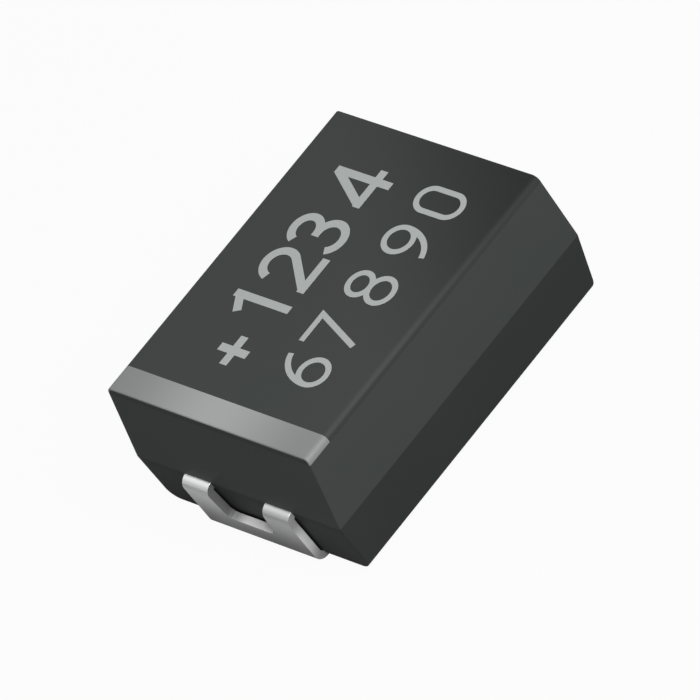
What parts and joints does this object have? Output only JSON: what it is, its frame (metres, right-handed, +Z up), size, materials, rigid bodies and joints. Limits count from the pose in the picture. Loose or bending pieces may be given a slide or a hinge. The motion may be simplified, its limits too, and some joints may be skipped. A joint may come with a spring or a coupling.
{
  "type": "tantalum capacitor",
  "caption": "Moulded surface-mount tantalum capacitor with a drafted dark case, a grey polarity band, and two folded tinned terminals, the anode one forked.",
  "frame": {"origin": "on the board, under the middle of the case: the soles of both terminals lie at z = 0", "axes": "+X from the anode end to the cathode end, +Z up from the board"},
  "size_m": [0.007, 0.0046, 0.0029],
  "materials": {
    "moulded_epoxy": "fine matt moulded surface",
    "band_mark": "silver-grey marked layer, level with the case, satin",
    "tinned_sheet": "matt tin plating",
    "sintered_tantalum": "fine porous sintered surface",
    "tantalum_wire": "drawn wire",
    "washer_plastic": "white, smooth",
    "manganese_oxide": "grainy black",
    "carbon_layer": "dull black",
    "silver_layer": "dull silver paint",
    "silver_glue": "dull grey"
  },
  "bodies": {
    "root": {"case": "moulded_epoxy", "polarity_band": "band_mark", "anode_terminal": "tinned_sheet", "cathode_terminal": "tinned_sheet", "anode_pellet": "sintered_tantalum", "anode_wire": "tantalum_wire", "wire_washer": "washer_plastic", "manganese_coat": "manganese_oxide", "carbon_coat": "carbon_layer", "silver_coat": "silver_layer", "silver_adhesive": "silver_glue"}
  },
  "joints": []
}
